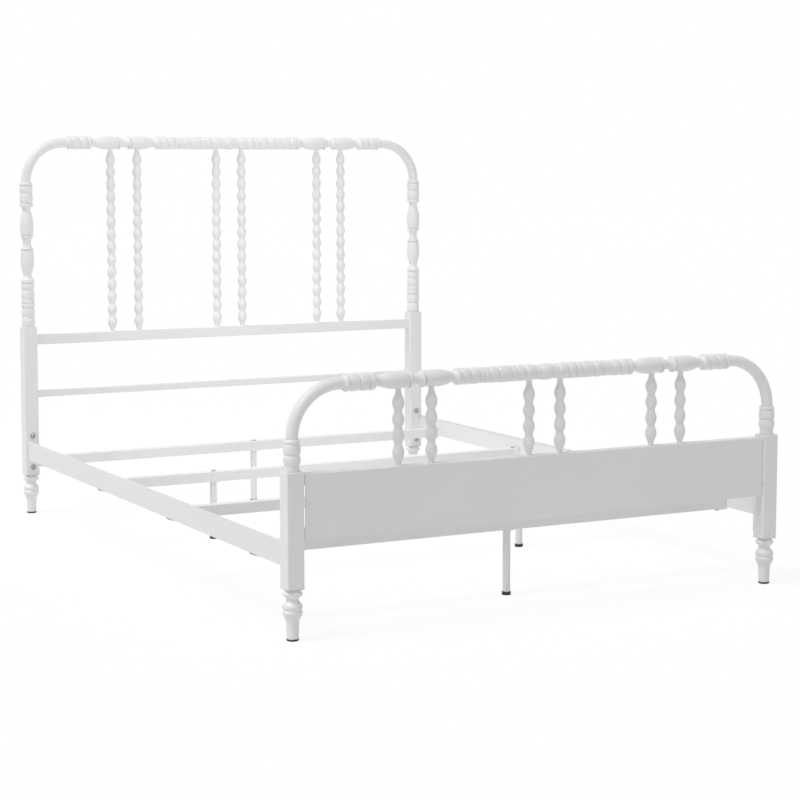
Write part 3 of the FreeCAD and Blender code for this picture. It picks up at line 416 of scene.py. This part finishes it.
def top_bar(half_length):
    """Turning of a hoop's top bar, from its middle out to both ends."""
    middle_bead = swell(-16.5, 16.5, 17.2, 20.8, 2.4, 10)
    half = [(0, 20.8)] + [spot for spot in middle_bead if spot[0] > 0.5]
    half += rings((16.5, 34.5, 17.4, 18.1, 6),
                  (34.5, 62.5, 17.2, 20.7, 2.2),
                  (62.5, 86.5, 17.2, 20.7, 2.2),
                  (86.5, 102.5, 17.6, 20.3, 4, 10),
                  (102.5, 138, 17.2, 20.9, 2.4, 10),
                  (138, 164.5, 17.2, 20.7, 2.2),
                  (164.5, 178.5, 17.4, 19.8, 4),
                  (178.5, 192, 17.2, 19.0, 4),
                  (192, 217.5, 17.2, 20.7, 2.2),
                  (217.5, 243, 17.2, 20.7, 2.2))
    half += swell(243, 254.5, 17.6, 21, 4, 10)[:-2]
    half += flowing([(254.5, 18.6), (257.5, 15.6), (261, 13.5), (264, 13.0)])
    half += urn(264, 308, 344.5, 349.5, 365)
    half += urn(464, 421, 384.5, 379.5, 365)[::-1]
    half += flowing([(464, 13.0), (470, 13.2), (474, 15.2), (477, 18.2)])
    half += swell(477, half_length - 67, 18, 21, 4, 10)[2:]
    half += rings((half_length - 67, half_length - 41, 17.2, 20.9, 2.2),
                  (half_length - 41, half_length - 13, 17.2, 20.9, 2.2))
    half += swell(half_length - 13, half_length - 3, 17.8, 21, 3.4, 10)[:-2]
    half += flowing([(half_length - 3, 18.5), (half_length - 1.2, 17), (half_length, 15.3)])
    return sleeve(mirrored(half))


def head_side():
    """Turning of an upright of the head hoop, from its socket to the bend."""
    line = rings((594, 625.5, 17.2, 20.9, 2.2, 10),
                 (625.5, 655.5, 17.2, 20.9, 2.2, 10),
                 (655.5, 668, 17.8, 21, 4, 10),
                 (668, 682, 17.8, 21, 4, 10),
                 (682, 710.5, 17.2, 20.9, 2.2),
                 (710.5, 732, 17.2, 20.7, 2.2))
    line += swell(732, 744.5, 17.8, 21, 3.4, 10)[:-2]
    line += flowing([(744.5, 18.6), (747.5, 15.6), (752, 13.5), (756, 13.0)])
    line += urn(756, 802, 837.5, 842.5, 858)
    line += urn(960, 916, 880.5, 875.5, 858)[::-1]
    line += flowing([(960, 13.0), (966, 13.3), (970, 15.2), (973, 18.2)])
    line += swell(973, 982, 18, 21, 4, 10)[2:]
    line += rings((982, 1013, 17.2, 20.9, 2.2),
                  (1013, 1038, 17.2, 20.9, 2.2))
    line += swell(1038, 1045.4, 17.2, 21, 4, 10)[:-2]
    line += flowing([(1045.4, 18.6), (1046.8, 17), (1048, 15.3)])
    return sleeve(line)


def foot_side():
    """Turning of a short upright of the foot hoop, from its post to the bend."""
    line = rings((400, 403, 17.0, 18.6, 2.4, 6),
                 (403, 412.8, 16.8, 17.8, 6, 6))
    line += flowing([(412.8, 17.0), (417, 18.9), (424, 20.7), (430, 21.0), (436, 19.8),
                     (439.6, 17.4)])
    line += swell(439.6, 464.4, 17.4, 20.9, 2.4, 10)
    line += swell(464.4, 473.6, 17.4, 19.6, 3.0, 10)[:-3]
    line += flowing([(472.4, 18.6), (474.6, 16.9), (476, 15.3)])
    return sleeve(line)


def spindle(seat, first, last, beads, end):
    """A beaded spindle: weld at its seat, taper, beads, taper, end inside the bar."""
    pitch = (last - first) / (beads - 1)
    line = [(seat, 0), (seat, 8.6), (seat + 0.8, 7.9), (seat + 2, 7.3), (seat + 3.4, 7.1)]
    rise = [(21, 8.6), (15, 11.0), (9, 13.3), (4, 14.5), (0, 14.75)]
    line += flowing([(seat + 7, 7.3)] + [(first - back, radius) for back, radius in rise])
    neck = [(0.1, 14.5), (0.2, 13.6), (0.29, 12.2), (0.36, 11.0), (0.42, 10.3),
            (0.455, 10.0), (0.47, 9.5), (0.5, 9.9)]
    neck += [(1 - place, radius) for place, radius in reversed(neck[:-1])] + [(1, 14.75)]
    for bead in range(beads - 1):
        line += [(first + (bead + place) * pitch, radius) for place, radius in neck]
    line += flowing([(last + back, radius) for back, radius in reversed(rise)]
                    + [(last + 28, 7.1)])[1:]
    return line + [(end, 7), (end, 0)]


def foot_turning():
    """A turned foot, from its glide up to the flange; open below round the stem."""
    line = [(5, 5), (5, 13.6), (5.8, 14.4)]
    line += flowing([(7, 14.5), (25, 15.0), (45.5, 15.8), (52, 17.6), (59, 21.3),
                     (64.5, 23.7), (67.5, 24.0), (70.5, 23.4), (73.6, 21.6)])
    line += flowing([(73.9, 21.6), (76, 22.6), (79, 23.7), (82.3, 23.9), (86.5, 22.6),
                     (91, 18.9), (95, 16.0), (98.5, 15.1), (101.5, 15.6), (104.5, 18.4),
                     (108, 22.4), (111.5, 23.9), (115, 22.7), (118.5, 19.4), (121, 17.4)])
    return line + [(124.2, 17.0), (124.2, 0), (5, 0)]


# ------------------------------------------------------------------ hoops

def hoop(end, y, bottom, top, plain):
    """One tube, drawn down where sleeves sit on it, bent over both corners.

    The left half is drawn from its foot to the middle, and a mirror makes the right.
    Their inner ends are left open and pass each other a little, inside the sleeve."""
    y, x, centre_x = y * MM, -POST_X * MM, -(POST_X - BEND) * MM
    bend_z, top_z = (top - BEND) * MM, top * MM
    bpy.ops.object.select_all(action="DESELECT")
    bpy.ops.mesh.primitive_circle_add(vertices=HOOP_SEGMENTS, radius=CORE * MM,
                                      fill_type="NGON", location=(x, y, bottom * MM))
    tube = bpy.context.object
    bpy.ops.object.mode_set(mode="EDIT")
    bpy.ops.mesh.select_all(action="SELECT")

    def draw(shift, factor=None, middle=None):
        """Draw the tube on by a shift, and then to another radius about a middle."""
        bpy.ops.mesh.extrude_region_move(TRANSFORM_OT_translate={"value": shift})
        if factor:
            bpy.ops.transform.resize(value=(factor,) * 3, center_override=middle)

    draw((0, 0, bend_z - bottom * MM))
    draw((0, 0, 0), TUBE_EDGE / CORE, (x, y, bend_z))
    draw((0, 0, MM), TUBE / TUBE_EDGE, (x, y, bend_z + MM))
    bpy.ops.mesh.spin(steps=BEND_SEGMENTS, angle=-math.pi / 2,
                      center=(centre_x, y, bend_z), axis=(0, 1, 0))
    step_x = centre_x + plain * MM
    draw((plain * MM - MM, 0, 0))
    draw((MM, 0, 0), TUBE_EDGE / TUBE, (step_x, y, top_z))
    draw((0, 0, 0), CORE / TUBE_EDGE, (step_x, y, top_z))
    draw((-step_x, 0, 0))
    bpy.ops.mesh.delete(type="ONLY_FACE")
    bpy.ops.object.mode_set(mode="OBJECT")
    bpy.ops.object.transform_apply(location=True, rotation=True, scale=True)
    mirror = tube.modifiers.new("other half", "MIRROR")
    mirror.merge_threshold = 0.0001
    bpy.ops.object.modifier_apply(modifier=mirror.name)
    bpy.ops.object.mode_set(mode="EDIT")
    settle(tube)
    finished(tube, end + "_hoop_bent", TUBE_PAINT, "white_paint", end + "_hoop_tube")


hoop("head", POST_Y, bottom=562, top=HEAD_TOP, plain=HEAD_PLAIN)
hoop("foot", -POST_Y, bottom=368, top=FOOT_TOP, plain=FOOT_PLAIN)

for end, y, z, plain in (("head", POST_Y, HEAD_TOP, HEAD_PLAIN),
                         ("foot", -POST_Y, FOOT_TOP, FOOT_PLAIN)):
    bar = turned(top_bar(POST_X - BEND - plain), (0, y, z), "X", HOOP_SEGMENTS)
    finished(bar, end + "_top_bar", CAST_PAINT, "white_paint", end + "_top_turning")

for end, y, profile in (("head", POST_Y, head_side()),
                        ("foot", -POST_Y, foot_side())):
    left = turned(profile, (-POST_X, y, 0), segments=HOOP_SEGMENTS)
    right = copy_of(left, (2 * POST_X, 0, 0))
    for piece, side in ((left, "left"), (right, "right")):
        finished(piece, end + "_upright_" + side, CAST_PAINT, "white_paint",
                 end + "_side_turnings")

for end, y, profile in (
    ("head", POST_Y, spindle(seat=568, first=600, last=1118, beads=14, end=1161.5)),
    ("foot", -POST_Y, spindle(seat=394, first=426, last=545, beads=4, end=589.5)),
):
    outer = turned(profile, (SPINDLES[0], y, 0), segments=24, crease=60)
    pieces = [outer] + [copy_of(outer, (x - SPINDLES[0], 0, 0)) for x in SPINDLES[1:]]
    for number, piece in enumerate(pieces, 1):
        finished(piece, "%s_spindle_%d" % (end, number), CAST_PAINT, "white_paint",
                 end + "_spindles")


# ------------------------------------------------------------------ feet and glides

def flange(side=44, thick=3, middle=125.5, corner=3, bevel=2.2, drop=1.2):
    """Square flange of a foot, with rounded corners and a bevelled underside."""
    centre = (0, 0, middle * MM)
    bpy.ops.object.select_all(action="DESELECT")
    bpy.ops.mesh.primitive_cube_add(size=1, location=centre)
    slab = bpy.context.object
    bpy.ops.object.mode_set(mode="EDIT")
    bpy.ops.transform.resize(value=(side * MM, side * MM, thick * MM),
                             center_override=centre)
    bpy.ops.mesh.select_all(action="DESELECT")
    bpy.ops.object.mode_set(mode="OBJECT")
    for edge in slab.data.edges:
        a, b = (slab.data.vertices[index].co for index in edge.vertices)
        edge.select = abs(a.z - b.z) > 2 * MM
    bpy.ops.object.mode_set(mode="EDIT")
    bpy.ops.mesh.select_mode(type="EDGE")
    bpy.ops.mesh.bevel(offset=corner * MM, segments=5, affect="EDGES")
    bpy.ops.mesh.select_all(action="DESELECT")
    bpy.ops.object.mode_set(mode="OBJECT")
    for face in slab.data.polygons:
        face.select = face.normal.z < -0.9
    bpy.ops.object.mode_set(mode="EDIT")
    bpy.ops.mesh.select_mode(type="FACE")
    bpy.ops.mesh.inset(thickness=bevel * MM, depth=0)
    bpy.ops.transform.translate(value=(0, 0, -drop * MM))
    bpy.ops.mesh.inset(thickness=4 * MM, depth=0)
    bpy.ops.mesh.select_mode(type="VERT")
    return settle(slab, 30)


def joined(first, second):
    """Two pieces as one."""
    bpy.ops.object.select_all(action="DESELECT")
    first.select_set(True)
    second.select_set(True)
    bpy.context.view_layer.objects.active = first
    bpy.ops.object.join()
    return first


GLIDE = ((0, 0), (0, 12.2), (0.5, 13.6), (1.5, 14.8), (2.3, 15), (4, 15), (4.6, 14.6),
         (5, 14.2), (5, 4.9), (19.5, 4.9), (20, 4.2), (20, 0))       # with its stem
CUP = ((0, 0), (0, 10.9), (0.4, 11.6), (1.2, 12), (8.2, 12), (8.8, 11.7), (9, 11.1),
       (9, 10.05), (4, 10.05), (4, 0))                               # round a leg's end

foot = joined(turned(foot_turning(), segments=36, crease=32), flange())
glide = turned(GLIDE, segments=36)
cup = turned(CUP)
for corner, x_side, y_side in CORNERS:
    spot = (x_side * POST_X, y_side * POST_Y, 0)
    finished(copy_of(foot, spot), "foot_" + corner, CAST_PAINT, "white_paint",
             "turned_feet")
    finished(copy_of(glide, spot), "glide_" + corner, GLIDE_BLACK, "black_plastic",
             "post_glides")
for number, (x, y) in enumerate(zip(LEGS, SLATS), 1):
    finished(copy_of(cup, (x, y, 0)), "leg_glide_%d" % number, GLIDE_BLACK,
             "black_plastic", "leg_glides")
for pattern in (foot, glide, cup):
    bpy.data.objects.remove(pattern)


# ------------------------------------------------------------------ fasteners

WASHER = 1.6          # thickness of the washer under a rail bolt's head
ROUNDED = 0.3         # rounding of washers and heads
POINT = 0.6           # chamfer at a bolt's tip
SOCKET = 3.2          # depth of the socket for the key
# Rounding of a head, in shares of its height and of half its width:
DOME = ((0.42, 1), (0.72, 0.93), (0.92, 0.78), (1, 0.62), (1, 0))


def thread(start, end, radius, pitch=1.25, depth=0.55):
    """Crests and roots of a screw thread along a shank."""
    line = []
    for turn in range(int((end - start) / pitch)):
        line += [(start + turn * pitch, radius - depth),
                 (start + (turn + 0.5) * pitch, radius)]
    return line + [(end, radius - 0.2)]


def bolt(shank, head, dome, reach, threaded, washer=0, key=5):
    """A bolt along Z from its tip at 0, with a socket for a hexagon key in its head.

    Widths across are shank, head, washer and key; dome is the head's height, reach
    the shank's length and threaded the part of it that has a thread."""
    radius, wide = shank / 2, head / 2
    line = [(0, 0), (0, radius - 1.0), (POINT, radius - POINT)]
    line += thread(POINT, threaded, radius)
    line += [(threaded + 0.1, radius), (reach, radius)]
    seat = reach
    if washer:
        line += [(seat, washer / 2 - ROUNDED), (seat + ROUNDED, washer / 2),
                 (seat + WASHER - ROUNDED, washer / 2),
                 (seat + WASHER, washer / 2 - ROUNDED)]
        seat += WASHER
    line += [(seat, wide - 0.2), (seat + ROUNDED, wide)]
    line += [(seat + dome * up, wide * out) for up, out in DOME]
    piece = turned(line, segments=28, crease=32)
    bpy.ops.object.select_all(action="DESELECT")
    bpy.ops.mesh.primitive_cylinder_add(vertices=6, radius=key / math.sqrt(3) * MM,
                                        depth=2 * SOCKET * MM,
                                        location=(0, 0, (seat + dome) * MM))
    cut_with(piece, bpy.context.object, "DIFFERENCE")
    return piece


def nut(across=13, thick=4):
    """Hexagon nut with chamfered corners and a round bore."""
    bpy.ops.object.select_all(action="DESELECT")
    bpy.ops.mesh.primitive_cylinder_add(vertices=6, radius=across / math.sqrt(3) * MM,
                                        depth=thick * MM, location=(0, 0, thick / 2 * MM))
    body = bpy.context.object
    bpy.ops.object.transform_apply(location=True, rotation=True, scale=True)
    crown = turned([(0, 0), (0, 6.3), (0.8, 7.6), (3.2, 7.6), (thick, 6.3), (thick, 0)],
                   segments=36)
    bore = turned([(-1, 0), (-1, 4.1), (8, 4.1), (8, 0)], segments=24)
    cut_with(body, crown, "INTERSECT")
    cut_with(body, bore, "DIFFERENCE")
    bpy.ops.object.select_all(action="DESELECT")
    body.select_set(True)
    bpy.ops.object.shade_smooth_by_angle(angle=math.radians(28))
    return body


def fasten(pattern, name, replaced, spots, material=BOLT_STEEL, slot="dark_steel"):
    """Copies of a fastener at (direction, spot) pairs; the pattern itself goes.

    A head points in its direction, and its tip is at the spot."""
    for number, (direction, spot) in enumerate(spots, 1):
        finished(copy_of(pattern, spot, direction), "%s_%d" % (name, number), material,
                 slot, replaced)
    bpy.data.objects.remove(pattern)


UP = (0, 0, 1)
SIDES = (-1, 1)
RAIL_BOLT_Y, RAIL_BOLT_Z = 970, (150, 250)     # tips inside the posts, two to a plate
SPLICE_X, SPLICE_Z = 705.5, 203.5              # tips of the splice bolts
SPLICE_Y = (-58, -24, 24, 58)
SCREW_X, SCREW_Z = 675.7, 360                  # tips of the screws of the joining tubes
SLAT_BOLT_Z, LEG_BOLT_Z, NUT_Z = 165, 162, 166

fasten(bolt(shank=8, head=14, dome=5.5, reach=16, threaded=11, washer=18),
       "rail_bolt", "rail_bolts",
       [((0, -y, 0), (x * POST_X, y * RAIL_BOLT_Y, z))
        for x in SIDES for y in SIDES for z in RAIL_BOLT_Z])
fasten(bolt(shank=8, head=14, dome=5.5, reach=5, threaded=4),
       "splice_bolt", "splice_bolts",
       [((-x, 0, 0), (x * SPLICE_X, y, SPLICE_Z)) for x in SIDES for y in SPLICE_Y])
fasten(bolt(shank=8, head=14, dome=3.6, reach=37, threaded=18),
       "slat_bolt", "slat_bolts",
       [(UP, (x * BRACKET_X, y, SLAT_BOLT_Z)) for x in SIDES for y in SLATS])
fasten(bolt(shank=8, head=14, dome=3.6, reach=40, threaded=16),
       "leg_bolt", "leg_bolts",
       [(UP, (x, y, LEG_BOLT_Z)) for x, y in zip(LEGS, SLATS)])
fasten(bolt(shank=6, head=12, dome=5.5, reach=7.7, threaded=4.5, key=4),
       "insert_screw", "insert_screws",
       [((-x, 0, 0), (x * SCREW_X, POST_Y, SCREW_Z)) for x in SIDES])
fasten(nut(), "slat_nut", "slat_nuts",
       [(UP, (x * BRACKET_X, y, NUT_Z)) for x in SIDES for y in SLATS],
       ZINC, "zinc_steel")


# ------------------------------------------------------------------ paint on the rest

BASE = ("side_rail", "end_plate", "splice_plate", "slat", "support_leg")
for name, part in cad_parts.items():
    if name.startswith(BASE):
        material = BASE_PAINT
    elif name.startswith("foot_panel"):
        material = SHEET_PAINT
    else:
        material = TUBE_PAINT
    for place in part.material_slots:
        place.material = material


# ------------------------------------------------------------------ studio, in metres

def mixed_shader(tree, place, share, first, second):
    """Two shaders mixed; share is how much of the second shows."""
    mix = node(tree, "MixShader", place)
    for socket, source in zip(mix.inputs, (share, first.outputs[0], second.outputs[0])):
        tree.links.new(source, socket)
    return mix.outputs[0]


def floor(size=60, grey=0.84, glow=1.06, glow_share=0.8):
    """Plain white floor that keeps a soft shadow; mostly white to the camera."""
    bpy.ops.object.select_all(action="DESELECT")
    bpy.ops.mesh.primitive_plane_add(size=size, location=(0, 0, 0))
    ground = bpy.context.object
    ground.name = "studio_floor"
    material = bpy.data.materials.new("studio floor")
    material.use_nodes = True
    tree = material.node_tree
    shader = tree.nodes["Principled BSDF"]
    shader.inputs["Base Color"].default_value = (grey, grey, grey, 1)
    shader.inputs["Roughness"].default_value = 0.9
    shader.inputs["Specular IOR Level"].default_value = 0.1
    white = node(tree, "Emission", (-200, -200), Color=(1, 1, 1, 1), Strength=glow)
    ray = node(tree, "LightPath", (-600, 300))
    seen = maths(tree, (-400, 300), "MAXIMUM", ray.outputs["Is Camera Ray"],
                 ray.outputs["Is Glossy Ray"])
    share = maths(tree, (-200, 300), "MULTIPLY", seen, glow_share)
    tree.links.new(mixed_shader(tree, (300, 0), share, shader, white),
                   tree.nodes["Material Output"].inputs["Surface"])
    ground.data.materials.append(material)


def studio(grey_light=0.45):
    """White surroundings for the camera and reflections, plain grey light otherwise."""
    world = bpy.data.worlds.new("studio")
    bpy.context.scene.world = world
    world.use_nodes = True
    tree = world.node_tree
    tree.nodes.clear()
    out = tree.nodes.new("ShaderNodeOutputWorld")
    white = node(tree, "Background", (-200, 150), Color=(1, 1, 1, 1), Strength=1.0)
    grey = node(tree, "Background", (-200, -50), Color=(1, 1, 1, 1), Strength=grey_light)
    ray = node(tree, "LightPath", (-800, 300))
    seen = maths(tree, (-600, 300), "MAXIMUM", ray.outputs["Is Camera Ray"],
                 ray.outputs["Is Glossy Ray"])
    seen = maths(tree, (-400, 300), "MAXIMUM", seen, ray.outputs["Is Transmission Ray"])
    tree.links.new(mixed_shader(tree, (100, 0), seen, grey, white), out.inputs["Surface"])


def placed(name, data, place):
    """A lamp or camera in the scene at a place."""
    holder = bpy.data.objects.new(name, data)
    holder.location = place
    bpy.context.scene.collection.objects.link(holder)
    return holder


def facing_away(towards):
    """Rotation of a lamp that shines from a direction."""
    return Vector(towards).to_track_quat("Z", "Y").to_euler()


def sun(name, towards, strength, degrees):
    """A soft lamp far away, shining from a direction; more degrees, softer shadows."""
    lamp = bpy.data.lights.new(name, "SUN")
    lamp.energy, lamp.angle = strength, math.radians(degrees)
    placed(name, lamp, Vector(towards) * 5).rotation_euler = facing_away(towards)


def panel_light(name, place, target, size, power, degrees):
    """A large soft lamp that looks at a target and lights a cone of some degrees."""
    lamp = bpy.data.lights.new(name, "AREA")
    lamp.shape, lamp.size, lamp.energy = "DISK", size, power
    lamp.spread = math.radians(degrees)
    holder = placed(name, lamp, place)
    holder.rotation_euler = facing_away(Vector(place) - Vector(target))
    holder.visible_camera = holder.visible_glossy = False


def photo_camera(place, tilt, turn, lens, shift):
    """The camera, fitted to the picture; tilt and turn are in degrees."""
    data = bpy.data.cameras.new("camera")
    data.sensor_width, data.lens, data.shift_y, data.clip_end = 36, lens, shift, 200
    camera = placed("camera", data, place)
    camera.rotation_euler = (math.radians(tilt), 0, math.radians(turn))
    bpy.context.scene.camera = camera


floor()
studio()
sun("key light", (-0.5, -0.03, 0.86), strength=1.62, degrees=30)
panel_light("fill light", (-0.1, -0.45, 1.2), (0, 1.0, 0.5), size=1.3, power=3.2,
            degrees=105)
photo_camera((-2.6764, -5.2437, 1.1275), tilt=84.322, turn=-28.043, lens=91.94,
             shift=-0.05)
bpy.context.scene.view_settings.view_transform = "Standard"
